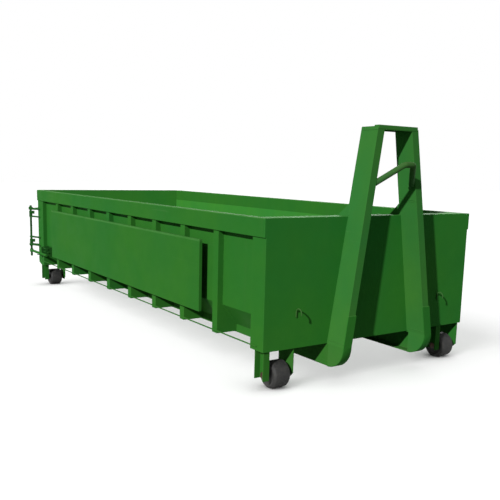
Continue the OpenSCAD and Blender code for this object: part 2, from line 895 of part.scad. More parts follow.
// A lug that reaches from the outer face of the rear post to the rod or shaft
module rod_lug(z) {
    lug_r = eye_r - 2;
    foot_l = 100;
    foot_t = 10;
    translate([0, 0, z - lug_t / 2]) difference() {
        union() {
            translate([hinge_x, hinge_y, 0]) cylinder(r = lug_r, h = lug_t);
            linear_extrude(lug_t)
                polygon([
                    [hinge_x, hinge_y - lug_r], [rear_x, face_y], [rear_x + foot_l, face_y],
                    [rear_x + foot_l, face_y + foot_t], [hinge_x, hinge_y + lug_r]
                ]);
        }
        translate([hinge_x, hinge_y, -cut]) cylinder(d = rod_d + 2 * run_gap, h = lug_t + 2 * cut);
    }
}

module rod_lugs() {
    for (z = eye_z) for (s = [-1, 1]) rod_lug(z + s * lug_pitch);
}

// The rod with a collar that stands on each lower lug and a head above the topmost lug
module collared_rod(collar_h) {
    head_h = 16;
    head_z = high_hinge_z + lug_pitch + lug_t / 2 + touch_gap;
    translate([hinge_x, hinge_y, 0]) {
        translate([0, 0, rod_bottom_z]) cylinder(d = rod_d, h = rod_top_z - rod_bottom_z);
        for (z = eye_z) translate([0, 0, z - lug_pitch + lug_t / 2 + touch_gap])
            cylinder(r = collar_r, h = collar_h);
        translate([0, 0, head_z]) cylinder(r = collar_r, h = head_h);
    }
}

module hinge_rod() {
    collar_h = lug_pitch - (lug_t + eye_h) / 2 - 2 * touch_gap;
    color(green) {
        rod_lugs();
        collared_rod(collar_h);
    }
}

// The lock shaft carries two short claws beside the edge of the door
module lock_shaft() {
    claw_h = 44;
    claw_from = lug_pitch - (lug_t + claw_h) / 2 - touch_gap;
    color(green)
    right_side() {
        collared_rod(claw_from + claw_h);
        for (z = eye_z) translate([hinge_x, hinge_y, z - claw_h / 2]) linear_extrude(claw_h)
            polygon([
                [0, collar_r - 4], [-6, -collar_r], [20, -52], [38, -44], [collar_r, 0]
            ]);
    }
}

module lock_bearings() {
    rest_gap = 5;
    rest_t = 8;
    rest_l = 40;
    rest_x = rear_x + rear_post_w - 60;
    color(green)
    right_side() {
        rod_lugs();
        translate([rest_x, face_y, lever_z - lever_d / 2 - rest_gap - rest_t])
            cube([rest_l, hinge_y + lever_d / 2 - face_y, rest_t]);
    }
}

// The lever is a round bar on a hub around the lock shaft
module lock_lever() {
    hub_h = lever_d + 10;
    color(green)
    right_side() translate([hinge_x, hinge_y, lever_z]) difference() {
        union() {
            rotate([0, 90, 0]) cylinder(d = lever_d, h = lever_l);
            translate([0, 0, -hub_h / 2]) cylinder(r = eye_r, h = hub_h);
        }
        translate([0, 0, -hub_h]) cylinder(d = rod_d + 2 * run_gap, h = 2 * hub_h);
    }
}

floor_plate();
side_sheet();  // side_sheet_left
right_side() side_sheet();  // side_sheet_right
front_plate();
front_header();
sill(plate_back_x - front_post_w, front_post_w);  // front_sill
sill(rear_x, rear_post_w);  // rear_sill
top_rail();  // top_rail_left
right_side() top_rail();  // top_rail_right
front_post();  // front_post_left
right_side() front_post();  // front_post_right
rear_post();  // rear_post_left
right_side() rear_post();  // rear_post_right
side_ribs();  // side_ribs_left
right_side() side_ribs();  // side_ribs_right
cross_members();
floor_edge();  // floor_edge_left
right_side() floor_edge();  // floor_edge_right
skid_beam();  // skid_beam_left
right_side() skid_beam();  // skid_beam_right
hook_leg();  // hook_leg_left
right_side() hook_leg();  // hook_leg_right
leg_shoe();  // leg_shoe_left
right_side() leg_shoe();  // leg_shoe_right
hook_gussets();
hook_crossbar();
hook_bow();
side_board();  // side_board_left
right_side() side_board();  // side_board_right
lashing_rails();
rope_hooks();
front_roller_brackets();
rear_roller_brackets();
roller_axles();
roller(front_axle_x, roller_left_y);  // roller_front_left
roller(front_axle_x, roller_right_y);  // roller_front_right
roller(rear_axle_x, roller_left_y);  // roller_rear_left
roller(rear_axle_x, roller_right_y);  // roller_rear_right
hinge_rod();
door_sheet();
door_frame();
door_hinges();
lock_bearings();
lock_shaft();
lock_lever();
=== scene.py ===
import math

import bmesh
import bpy
from mathutils import Matrix, Vector, noise


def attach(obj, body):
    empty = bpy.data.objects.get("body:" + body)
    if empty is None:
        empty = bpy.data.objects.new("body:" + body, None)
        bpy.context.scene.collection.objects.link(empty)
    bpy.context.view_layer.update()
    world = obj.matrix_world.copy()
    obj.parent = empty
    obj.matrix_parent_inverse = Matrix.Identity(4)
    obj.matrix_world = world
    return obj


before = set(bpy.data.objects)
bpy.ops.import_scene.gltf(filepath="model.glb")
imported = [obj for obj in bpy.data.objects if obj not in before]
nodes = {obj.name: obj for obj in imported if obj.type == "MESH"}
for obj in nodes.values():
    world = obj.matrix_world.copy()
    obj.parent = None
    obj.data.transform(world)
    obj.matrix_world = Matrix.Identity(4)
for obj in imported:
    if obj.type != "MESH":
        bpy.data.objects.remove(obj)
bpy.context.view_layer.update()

# Values repeated from the CAD source, in metres
REAR_X = -3.052
FRONT_X = 2.888
PLATE_BACK_X = FRONT_X - 0.005
FACE_Y = 1.211
SHEET_Y = 1.150
SHEET_OUT_Y = 1.154
FLOOR_HALF_W = 1.000
BASE_Z = 0.340
FLOOR_TOP_Z = 0.420
SLOPE_TOP_Z = 0.610
RAIL_BOTTOM_Z = 1.275
RAIL_TOP_Z = 1.430
HINGE_X = REAR_X - 0.150
BEAM_OUT_Y = 0.530
BEAM_IN_Y = 0.454
LEG_W = 0.076
FRAME_TOP_Z = 2.185
FRAME_TOP_W = 0.470
CROSSBAR_H = 0.030
LEG_FOOT_REACH = 0.209
LEG_TOP_REACH = 0.176
FRONT_POST_W = 0.180
REAR_POST_W = 0.232
RIB_W = 0.084
RIB_X = [REAR_X + 0.875 + i * (5.940 - 0.875 - 0.757) / 7 for i in range(8)]
WEAR_PLATE_TOP_Z = 0.610
HOOK_BAR_X = FRONT_X + 0.315
HOOK_BAR_Z = 1.872
HOOK_BAR_RISE = 0.250
HOOK_BAR_PITCH = math.radians(44)

# Values of this scene alone: how far the legs reach behind the front plate, the height of their foot's
# seam, the seams across the floor and the sides, how far out the hinge rod and the lock shaft stand, and
# the strength of the light from all around
LEG_BACK = 0.026
FOOT_SEAM_Z = 0.370
SHEET_SEAM_X = (-1.10, 0.90)
LOCK_Y = 1.280
WORLD_LIGHT = 0.18


# Camera
def make_camera():
    """The photograph's camera, found by fitting straight edges of the body."""
    yaw, pitch, roll = math.radians(146.63), math.radians(-9.35), math.radians(1.33)
    focal, centre_x, centre_y, side = 674.6, 238.07, 280.75, 500.0
    forward = Vector((math.cos(pitch) * math.cos(yaw), math.cos(pitch) * math.sin(yaw), math.sin(pitch)))
    right = forward.cross(Vector((0, 0, 1))).normalized()
    up = right.cross(forward)
    right_r = right * math.cos(roll) + up * math.sin(roll)
    up_r = up * math.cos(roll) - right * math.sin(roll)
    data = bpy.data.cameras.new("camera")
    data.sensor_width = 36.0
    data.lens = data.sensor_width * focal / side
    data.shift_x = 0.5 - centre_x / side
    data.shift_y = centre_y / side - 0.5
    data.clip_end = 200.0
    cam = bpy.data.objects.new("camera", data)
    rot = Matrix((right_r, up_r, -forward)).transposed()
    cam.matrix_world = Matrix.Translation((FRONT_X + 4.300, -4.299, 1.801)) @ rot.to_4x4()
    bpy.context.scene.collection.objects.link(cam)
    bpy.context.scene.camera = cam


make_camera()


# Materials
def srgb(r, g, b):
    """A colour written in 0-255 display values, as the linear colour that the shader takes."""
    def one(v):
        v = v / 255
        return v / 12.92 if v <= 0.04045 else ((v + 0.055) / 1.055) ** 2.4
    return (one(r), one(g), one(b), 1.0)


class Graph:
    """A short way to write a material's nodes."""

    def __init__(self, name):
        self.mat = bpy.data.materials.new(name)
        self.mat.use_nodes = True
        self.tree = self.mat.node_tree
        self.tree.nodes.clear()
        self.out = self.tree.nodes.new("ShaderNodeOutputMaterial")
        self.bsdf = self.tree.nodes.new("ShaderNodeBsdfPrincipled")
        self.tree.links.new(self.bsdf.outputs[0], self.out.inputs["Surface"])
        self.coord = self.tree.nodes.new("ShaderNodeTexCoord").outputs["Object"]
        geo = self.tree.nodes.new("ShaderNodeNewGeometry")
        self.normal = geo.outputs["Normal"]

    def put(self, sock, value):
        if isinstance(value, bpy.types.NodeSocket):
            self.tree.links.new(value, sock)
        else:
            sock.default_value = value

    def math(self, op, a, b=0.0, c=0.0, clamp=False):
        n = self.tree.nodes.new("ShaderNodeMath")
        n.operation = op
        n.use_clamp = clamp
        for i, v in enumerate((a, b, c)):
            self.put(n.inputs[i], v)
        return n.outputs[0]

    def scaled(self, scale, move=(0, 0, 0)):
        n = self.tree.nodes.new("ShaderNodeMapping")
        self.put(n.inputs["Vector"], self.coord)
        n.inputs["Scale"].default_value = scale
        n.inputs["Location"].default_value = move
        return n.outputs[0]

    def noise(self, scale, detail=3.0, rough=0.5, vector=None, distortion=0.0):
        n = self.tree.nodes.new("ShaderNodeTexNoise")
        self.put(n.inputs["Vector"], vector if vector is not None else self.coord)
        n.inputs["Scale"].default_value = scale
        n.inputs["Detail"].default_value = detail
        n.inputs["Roughness"].default_value = rough
        n.inputs["Distortion"].default_value = distortion
        return n.outputs["Fac"]

    def ramp(self, value, low, high, out_low=0.0, out_high=1.0):
        n = self.tree.nodes.new("ShaderNodeMapRange")
        n.clamp = True
        self.put(n.inputs["Value"], value)
        n.inputs["From Min"].default_value = low
        n.inputs["From Max"].default_value = high
        n.inputs["To Min"].default_value = out_low
        n.inputs["To Max"].default_value = out_high
        return n.outputs[0]

    def mix(self, fac, a, b, blend="MIX"):
        n = self.tree.nodes.new("ShaderNodeMix")
        n.data_type = "RGBA"
        n.blend_type = blend
        self.put(n.inputs["Factor"], fac)
        self.put(n.inputs[6], a)
        self.put(n.inputs[7], b)
        return n.outputs[2]

    def axis(self, vector, which):
        n = self.tree.nodes.new("ShaderNodeSeparateXYZ")
        self.put(n.inputs[0], vector)
        return n.outputs[which]

    def bump(self, height, distance, strength=1.0, normal=None):
        n = self.tree.nodes.new("ShaderNodeBump")
        n.inputs["Strength"].default_value = strength
        n.inputs["Distance"].default_value = distance
        self.put(n.inputs["Height"], height)
        if normal is not None:
            self.put(n.inputs["Normal"], normal)
        return n.outputs[0]

    def edge(self, radius):
        """0 on flat faces, up to 1 on edges and corners."""
        n = self.tree.nodes.new("ShaderNodeBevel")
        n.samples = 4
        n.inputs["Radius"].default_value = radius
        d = self.tree.nodes.new("ShaderNodeVectorMath")
        d.operation = "DOT_PRODUCT"
        self.put(d.inputs[0], n.outputs[0])
        self.put(d.inputs[1], self.normal)
        return self.ramp(d.outputs["Value"], 0.995, 0.80)


def coat(g, colour, large, mottle):
    """The paint's own colour, warmer and cooler in wide patches and mottled finely."""
    warm = tuple(c * k for c, k in zip(colour, (1.22, 1.05, 0.92, 1.0)))
    cool = tuple(c * k for c, k in zip(colour, (0.80, 0.95, 1.08, 1.0)))
    dark = tuple(c * 0.86 for c in colour[:3]) + (1.0,)
    return g.mix(g.ramp(mottle, 0.3, 0.7, 0.0, 0.35), g.mix(g.ramp(large, 0.36, 0.64), cool, warm), dark)


def painted(name, colour, wear_and_highlight=0.5, dirt=0.5, wave=1.0, rub=0.3, highlight_from=None, outer=None):
    """Satin paint on sheet steel: uneven coat, dust, runs, scuffs, and edges that are partly worn and partly
    carry a painted highlight.

    highlight_from is the height in metres from which an upper fold is painted lighter, as a painted highlight
    of patchy strength.
    outer is the colour of the faces that look away from the container's middle plane.
    """
    g = Graph(name)
    large = g.noise(0.9, 4.0, 0.55)
    mottle = g.noise(9.0, 5.0, 0.6)
    col = coat(g, colour, large, mottle)
    if outer is not None:
        away = g.math("MULTIPLY", g.axis(g.coord, 1), g.axis(g.normal, 1))
        col = g.mix(g.ramp(away, 0.0, 0.1), col, coat(g, outer, large, mottle))
    # Pale film of dust on faces that look up, and splashes near the floor
    up = g.axis(g.normal, 2)
    height = g.axis(g.coord, 2)
    patch = g.noise(3.5, 6.0, 0.65)
    film = g.math("MULTIPLY", g.ramp(up, 0.25, 0.95), g.ramp(patch, 0.32, 0.72, 0.15, 0.60))
    low = g.math("MULTIPLY", g.ramp(height, 0.60, 0.05), g.ramp(patch, 0.42, 0.70, 0.0, 0.45))
    runs = g.noise(1.0, 4.0, 0.6, g.scaled((16.0, 16.0, 0.9)))
    runs = g.math("MULTIPLY", g.ramp(runs, 0.56, 0.76, 0.0, 0.22), g.ramp(mottle, 0.35, 0.6))
    dust = g.math("MAXIMUM", g.math("MAXIMUM", film, low), runs)
    dust = g.math("MULTIPLY", dust, dirt)
    col = g.mix(dust, col, srgb(84, 112, 66))
    # Long thin scuffs along the container, only in some places
    lines = g.noise(1.0, 2.0, 0.5, g.scaled((1.1, 95.0, 95.0), (3.1, 1.7, 0.4)))
    place = g.noise(1.7, 3.0, 0.5, g.scaled((1.0, 1.0, 2.2), (7.0, 2.0, 5.0)))
    scuff = g.math("MULTIPLY", g.ramp(lines, 0.66, 0.72), g.ramp(place, 0.52, 0.66))
    scuff = g.math("MULTIPLY", scuff, rub)
    col = g.mix(scuff, col, srgb(88, 134, 76))
    # Painted highlight along the upper fold, above the given height, patchy in strength
    if highlight_from is not None:
        fold = g.ramp(height, highlight_from, highlight_from + 0.004)
        col = g.mix(g.math("MULTIPLY", fold, g.ramp(patch, 0.3, 0.6, 0.25, 0.60)), col, srgb(80, 138, 70))
    # Edges: lighter paint, partly chalky wear and partly a painted highlight, and a few chips down to dark
    # steel
    edge = g.edge(0.005)
    edge_noise = g.noise(28.0, 5.0, 0.7)
    pale = g.math("MULTIPLY", edge, g.ramp(edge_noise, 0.35, 0.60, 0.25, 1.0))
    col = g.mix(g.math("MULTIPLY", pale, wear_and_highlight), col, srgb(84, 142, 70))
    bare = g.math("MULTIPLY", edge, g.ramp(edge_noise, 0.62, 0.66))
    bare = g.math("MULTIPLY", bare, g.math("MULTIPLY", g.ramp(place, 0.45, 0.60), min(1.0, wear_and_highlight * 1.5)))
    col = g.mix(bare, col, srgb(86, 66, 48))
    g.put(g.bsdf.inputs["Base Color"], col)
    rough = g.ramp(g.noise(5.0, 4.0, 0.6), 0.3, 0.7, 0.52, 0.66)
    rough = g.math("ADD", rough, g.math("MULTIPLY", dust, 0.45), clamp=True)
    g.put(g.bsdf.inputs["Roughness"], g.math("ADD", rough, g.math("MULTIPLY", bare, 0.2), clamp=True))
    g.bsdf.inputs["Specular IOR Level"].default_value = 0.015
    b = g.bump(g.noise(1.5, 2.0, 0.45), 0.010 * wave)
    b = g.bump(g.noise(420.0, 2.0, 0.5), 0.00012, normal=b)
    b = g.bump(g.math("SUBTRACT", 0.0, g.math("MAXIMUM", scuff, bare)), 0.0006, normal=b)
    g.put(g.bsdf.inputs["Normal"], b)
    return g.mat


def roller_material():
    """Dark cast rollers with a scuffed, dusty tread."""
    g = Graph("roller_dark")
    fine = g.noise(38.0, 6.0, 0.7)
    wide = g.noise(7.0, 4.0, 0.6)
    col = g.mix(g.ramp(wide, 0.35, 0.65), srgb(34, 34, 35), srgb(52, 52, 51))
    col = g.mix(g.ramp(fine, 0.48, 0.75, 0.0, 0.55), col, srgb(84, 81, 76))
    edge = g.edge(0.006)
    col = g.mix(g.math("MULTIPLY", edge, g.ramp(fine, 0.35, 0.65, 0.1, 0.8)), col, srgb(112, 108, 102))
    g.put(g.bsdf.inputs["Base Color"], col)
    g.put(g.bsdf.inputs["Roughness"], g.ramp(fine, 0.3, 0.7, 0.55, 0.85))
    g.bsdf.inputs["Specular IOR Level"].default_value = 0.35
    b = g.bump(g.noise(90.0, 5.0, 0.7), 0.0008)
    b = g.bump(g.noise(14.0, 3.0, 0.5), 0.0020, normal=b)
    g.put(g.bsdf.inputs["Normal"], b)
    return g.mat


def steel_material():
    """Dark greased steel with brown rust in patches."""
    g = Graph("axle_steel")
    spots = g.noise(30.0, 6.0, 0.7)
    col = g.mix(g.ramp(spots, 0.40, 0.62), srgb(62, 60, 58), srgb(96, 70, 50))
    g.put(g.bsdf.inputs["Base Color"], col)
    g.bsdf.inputs["Metallic"].default_value = 0.6
    g.put(g.bsdf.inputs["Roughness"], g.ramp(spots, 0.35, 0.65, 0.42, 0.80))
    b = g.bump(g.noise(160.0, 4.0, 0.6), 0.0004)
    g.put(g.bsdf.inputs["Normal"], b)
    return g.mat


SIDE_GREEN = srgb(46, 113, 40)
INSIDE_GREEN = srgb(58, 135, 52)
BOARD_GREEN = srgb(45, 111, 40)
FRONT_GREEN = srgb(46, 119, 43)
FRAME_GREEN = srgb(56, 119, 50)
SHOE_GREEN = srgb(42, 112, 40)
FITTING_GREEN = srgb(36, 88, 34)

mat_side = painted("paint_side", SIDE_GREEN, wear_and_highlight=0.5, dirt=0.45, wave=1.0, rub=0.35)
# The board and the rail get a painted highlight along their upper fold
mat_board = painted("paint_board", BOARD_GREEN, wear_and_highlight=0.55, dirt=0.40, wave=0.7, rub=0.15, highlight_from=1.152)
mat_rail = painted("paint_rail", SIDE_GREEN, wear_and_highlight=0.55, dirt=0.40, wave=0.7, rub=0.30, highlight_from=1.421)
mat_inside = painted("paint_inside", INSIDE_GREEN, wear_and_highlight=0.4, dirt=0.45, wave=1.0, rub=0.8)
mat_sheet = painted("paint_sheet", INSIDE_GREEN, wear_and_highlight=0.4, dirt=0.45, wave=1.0, rub=0.6, outer=SIDE_GREEN)
mat_front = painted("paint_front", FRONT_GREEN, wear_and_highlight=0.4, dirt=0.35, wave=0.8, rub=0.15)
mat_frame = painted("paint_frame", FRAME_GREEN, wear_and_highlight=0.6, dirt=0.40, wave=0.3, rub=0.30)
mat_low = painted("paint_low", SIDE_GREEN, wear_and_highlight=0.6, dirt=0.75, wave=0.2, rub=0.40)
mat_bar = painted("paint_bar", srgb(56, 100, 50), wear_and_highlight=0.8, dirt=0.5, wave=0.0, rub=1.0)
mat_shoe = painted("paint_shoe", SHOE_GREEN, wear_and_highlight=0.7, dirt=0.5, wave=0.2, rub=0.6)
mat_fitting = painted("paint_fitting", FITTING_GREEN, wear_and_highlight=0.5, dirt=0.6, wave=0.0, rub=0.5)
mat_roller = roller_material()
mat_steel = steel_material()

NODE_MATERIALS = {
    "floor_plate": mat_inside, "side_sheet_left": mat_sheet, "side_sheet_right": mat_sheet,
    "front_plate": mat_front, "front_header": mat_inside, "front_sill": mat_low,
    "rear_sill": mat_low, "top_rail_left": mat_rail, "top_rail_right": mat_rail,
    "front_post_left": mat_side, "front_post_right": mat_side, "rear_post_left": mat_side,
    "rear_post_right": mat_side, "side_ribs_left": mat_side, "side_ribs_right": mat_side,
    "cross_members": mat_low, "floor_edge_left": mat_low, "floor_edge_right": mat_low,
    "skid_beam_left": mat_low, "skid_beam_right": mat_low, "hook_leg_left": mat_frame,
    "hook_leg_right": mat_frame, "leg_shoe_left": mat_shoe, "leg_shoe_right": mat_shoe,
    "hook_gussets": mat_frame, "hook_crossbar": mat_frame, "hook_bow": mat_bar,
    "side_board_left": mat_board, "side_board_right": mat_board, "lashing_rails": mat_low,
    "rope_hooks": mat_bar, "front_roller_brackets": mat_low, "rear_roller_brackets": mat_low,
    "roller_axles": mat_steel, "roller_front_left": mat_roller, "roller_front_right": mat_roller,
    "roller_rear_left": mat_roller, "roller_rear_right": mat_roller, "hinge_rod": mat_fitting,
    "door_sheet": mat_inside, "door_frame": mat_side, "door_hinges": mat_frame,
    "lock_bearings": mat_fitting, "lock_shaft": mat_fitting, "lock_lever": mat_side,
}

# Bend and edge radii of the folded and cut steel, in metres
EDGE_R = {
    "side_board_left": 0.004, "side_board_right": 0.004, "top_rail_left": 0.007,
    "top_rail_right": 0.007, "hook_leg_left": 0.006, "hook_leg_right": 0.006,
    "hook_crossbar": 0.004, "leg_shoe_left": 0.0025, "leg_shoe_right": 0.0025,
    "front_plate": 0.0018, "side_ribs_left": 0.005, "side_ribs_right": 0.005,
    "front_post_left": 0.004, "front_post_right": 0.004, "rear_post_left": 0.004,
    "rear_post_right": 0.004, "door_frame": 0.004, "floor_edge_left": 0.003,
    "floor_edge_right": 0.003, "skid_beam_left": 0.003, "skid_beam_right": 0.003,
    "roller_front_left": 0.004, "roller_front_right": 0.004, "roller_rear_left": 0.004,
    "roller_rear_right": 0.004, "door_sheet": 0.0006,
}

# Nodes left out of the merge of flat faces, which left their meshes open. On the door frame a face that was
# merged around an opening closed the opening.
KEEPS_TRIANGLES = ("door_frame", "floor_edge_left", "floor_edge_right", "front_post_left", "front_post_right",
                   "hook_bow", "hook_leg_left", "hook_leg_right", "lock_shaft", "rear_post_left",
                   "rear_post_right", "rope_hooks", "side_ribs_left", "side_ribs_right")


def dress(name, obj):
    """A node's material and its modifiers: joined vertices, merged flat faces, rounded edges."""
    obj.data.materials.clear()
    obj.data.materials.append(NODE_MATERIALS[name])
    radius = EDGE_R.get(name, 0.0015)
    weld = obj.modifiers.new("merge", "WELD")
    weld.merge_threshold = 0.00001
    if name not in KEEPS_TRIANGLES:
        flat = obj.modifiers.new("flat", "DECIMATE")
        flat.decimate_type = "DISSOLVE"
        flat.angle_limit = math.radians(0.3)
    bevel = obj.modifiers.new("edges", "BEVEL")
    bevel.width = radius
    bevel.segments = 2
    bevel.limit_method = "ANGLE"
    bevel.angle_limit = math.radians(32)
    bevel.harden_normals = True
    bevel.use_clamp_overlap = True


for node_name, node_obj in nodes.items():
    dress(node_name, node_obj)


# Mesh helpers
def mesh_object(name, bm, material, body):
    """A new piece that rides on the body."""
    mesh = bpy.data.meshes.new(name)
    bmesh.ops.recalc_face_normals(bm, faces=bm.faces[:])
    bm.to_mesh(mesh)
    bm.free()
    mesh.materials.append(material)
    mesh.shade_smooth()
    obj = bpy.data.objects.new(name, mesh)
    bpy.context.scene.collection.objects.link(obj)
    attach(obj, body)
    return obj


def tube(bm, points, radii, sides=8):
    """A closed tube through the points, with one radius for each."""
    rings = []
    last = None
    for i, p in enumerate(points):
        ahead = points[min(i + 1, len(points) - 1)] - points[max(i - 1, 0)]
        t = ahead.normalized()
        if last is None:
            last = t.orthogonal().normalized()
        u = (last - t * last.dot(t)).normalized()
        last = u
        v = t.cross(u)
        ring = []
        for k in range(sides):
            a = 2 * math.pi * k / sides
            ring.append(bm.verts.new(p + (u * math.cos(a) + v * math.sin(a)) * radii[i]))
        rings.append(ring)
    for a, b in zip(rings, rings[1:]):
        for k in range(sides):
            bm.faces.new((a[k], a[(k + 1) % sides], b[(k + 1) % sides], b[k]))
    bm.faces.new(rings[0][::-1])
    bm.faces.new(rings[-1])


def bead(bm, a, b, radius=0.0035, seed=0.0):
    """A weld bead with its ripples, along the corner from a to b."""
    a, b = Vector(a), Vector(b)
    length = (b - a).length
    ripple = 0.0095
    count = max(4, int(length / (ripple / 3)))
    points, radii = [], []
    for i in range(count + 1):
        s = length * i / count
        p = a.lerp(b, i / count)
        wob = noise.noise_vector(Vector((s * 25 + seed, seed * 3.1, 0.5))) * radius * 0.22
        points.append(p + wob)
        end = min(1.0, (min(s, length - s) + 0.002) / 0.008)
        radii.append(radius * (0.55 + 0.45 * end) * (1.0 + 0.10 * math.sin(2 * math.pi * s / ripple)))
    tube(bm, points, radii, 6)


def stitches(bm, a, b, radius=0.0035, on=0.06, off=0.11, seed=0.0):
    """Short beads with gaps between them, from a to b."""
    a, b = Vector(a), Vector(b)
    length = (b - a).length
    step = (b - a) / length
    count = max(1, round((length - on) / (on + off)))
    pitch = (length - on) / count
    for i in range(count + 1):
        start = a + step * (pitch * i)
        bead(bm, start, start + step * on, radius, seed + i * 1.7)


def ring_bead(bm, centre, normal, ring_r, radius, seed=0.0):
    """A weld bead all around a round bar."""
    normal = Vector(normal).normalized()
    u = normal.orthogonal().normalized()
    v = normal.cross(u)
    centre = Vector(centre)
    count = 72
    points, radii = [], []
    for i in range(count + 1):
        a = 2 * math.pi * i / count
        points.append(centre + (u * math.cos(a) + v * math.sin(a)) * ring_r)
        radii.append(radius * (1.0 + 0.12 * math.sin(a * 17 + seed)))
    tube(bm, points, radii, 6)


def leg_out_y(z):
    """The leg's outer face at the height z."""
    return BEAM_OUT_Y - (z - BASE_Z) * (BEAM_OUT_Y - FRAME_TOP_W / 2) / (FRAME_TOP_Z - BASE_Z)


def leg_front_x(z):
    """The leg's front face at the height z."""
    return FRONT_X + LEG_FOOT_REACH - (z - BASE_Z) * (LEG_FOOT_REACH - LEG_TOP_REACH) / (FRAME_TOP_Z - BASE_Z)


# Welds
def side_welds(s, tag):
    """Stitch welds of the ribs on the side sheet, and of the rail above them."""
    bm = bmesh.new()
    y = s * SHEET_OUT_Y
    for i, x in enumerate(RIB_X):
        for e in (-1, 1):
            xe = x + e * (RIB_W / 2 + 0.001)
            stitches(bm, (xe, y, SLOPE_TOP_Z + 0.02), (xe, y, RAIL_BOTTOM_Z - 0.02), seed=i * 2.3 + e)
            bead(bm, (xe, y, SLOPE_TOP_Z), (xe, s * 1.003, FLOOR_TOP_Z - 0.003), seed=i + e)
        left, right = x - RIB_W / 2, x + RIB_W / 2
        bead(bm, (left, s * FACE_Y, RAIL_BOTTOM_Z), (right, s * FACE_Y, RAIL_BOTTOM_Z), 0.003, i)
    front_post_x = PLATE_BACK_X - FRONT_POST_W
    rear_post_x = REAR_X + REAR_POST_W
    bead(bm, (front_post_x, y, SLOPE_TOP_Z), (front_post_x, y, RAIL_BOTTOM_Z), seed=1.0)
    bead(bm, (rear_post_x, y, SLOPE_TOP_Z), (rear_post_x, y, RAIL_BOTTOM_Z), seed=2.0)
    bead(bm, (front_post_x, s * FACE_Y, RAIL_BOTTOM_Z), (PLATE_BACK_X, s * FACE_Y, RAIL_BOTTOM_Z), 0.003, 3.0)
    bead(bm, (REAR_X, s * FACE_Y, RAIL_BOTTOM_Z), (rear_post_x, s * FACE_Y, RAIL_BOTTOM_Z), 0.003, 4.0)
    edges = [rear_post_x] + [v for x in RIB_X for v in (x - RIB_W / 2, x + RIB_W / 2)] + [front_post_x]
    for a, b in zip(edges[::2], edges[1::2]):
        stitches(bm, (a + 0.03, y, RAIL_BOTTOM_Z), (b - 0.03, y, RAIL_BOTTOM_Z), seed=a)
    mesh_object("welds_side_" + tag, bm, mat_side, "container")


def frame_welds():
    """Long welds of the legs on the front plate, of the feet, gussets, crossbar and hook bar."""
    bm = bmesh.new()
    for s in (-1, 1):
        for inner in (0, 1):
            off = inner * LEG_W
            top = (FRONT_X, s * (leg_out_y(RAIL_TOP_Z) - off), RAIL_TOP_Z)
            low = (FRONT_X, s * (leg_out_y(BASE_Z) - off), BASE_Z)
            bead(bm, low, top, 0.005, s + inner)
            # Seam between the leg and its round foot
            z = FOOT_SEAM_Z
            y = s * (leg_out_y(z) - off)
            bead(bm, (FRONT_X + 0.012, y, z), (leg_front_x(z), y, z), 0.0028, s * 2 + inner)
            # Upper end of the gusset, and the crossbar's seams
            z = FRAME_TOP_Z - CROSSBAR_H
            y = s * (leg_out_y(z) - off)
            bead(bm, (FRONT_X, y, z), (leg_front_x(z), y, z), 0.003, s * 3 + inner)
        z = 1.560
        y = s * (leg_out_y(z) - LEG_W)
        bead(bm, (FRONT_X, y, z), (leg_front_x(z) - 0.03, y, z - 0.004), 0.0028, s * 5)
        for inner in (0, 1):
            low = (FRONT_X - 0.150, s * (leg_out_y(RAIL_TOP_Z) - inner * LEG_W), RAIL_TOP_Z)
            end = (FRONT_X, s * (leg_out_y(RAIL_TOP_Z) - inner * LEG_W), RAIL_TOP_Z)
            bead(bm, low, end, 0.004, s * 7 + inner)
        z = 1.578
        yi = s * (leg_out_y(z) - LEG_W)
        bead(bm, (FRONT_X - 0.020, yi, z + 0.006), (leg_front_x(z) - 0.012, yi, z - 0.010), 0.0030, s * 6)
        # Upper edge of the wear plate
        z = WEAR_PLATE_TOP_Z
        yo, yi = leg_out_y(z) + 0.006, leg_out_y(z) - LEG_W - 0.006
        bead(bm, (leg_front_x(z) + 0.001, s * yo, z), (leg_front_x(z) + 0.001, s * yi, z), 0.0035, s * 9)
        for off in (0.0, LEG_W):
            a = (leg_front_x(BASE_Z), s * (leg_out_y(BASE_Z) - off), BASE_Z)
            b = (leg_front_x(z), s * (leg_out_y(z) - off), z)
            stitches(bm, a, b, 0.003, 0.05, 0.05, s + off)
        # The hook bar in the leg's inner face
        root = hook_root(s)
        ring_bead(bm, root[0], root[1], 0.0262, 0.0045, s)
    mesh_object("welds_frame", bm, mat_frame, "container")


def hook_root(s):
    """Where the hook bar's axis leaves the inner face of a leg, and its direction there."""
    pitch = HOOK_BAR_PITCH
    root_z = HOOK_BAR_Z - HOOK_BAR_RISE * math.sin(pitch)
    root_x = HOOK_BAR_X - HOOK_BAR_RISE * math.cos(pitch)
    root_y = leg_out_y(root_z) - LEG_W
    a, b, r = 0.200, root_y - 0.025, 0.050
    bend = math.atan(a / b) + math.asin(r / math.hypot(a, b))
    along = Vector((-math.sin(bend), math.cos(bend)))
    start = Vector((a + r * math.cos(bend), 0.025 + r * math.sin(bend)))
    k = (root_y - start[1]) / along[1]
    p = start + along * k
    up = Vector((math.cos(pitch), 0, math.sin(pitch)))
    centre = Vector((root_x, 0, root_z)) + up * p[0] + Vector((0, s * p[1], 0))
    direction = up * along[0] + Vector((0, s * along[1], 0))
    return centre, direction


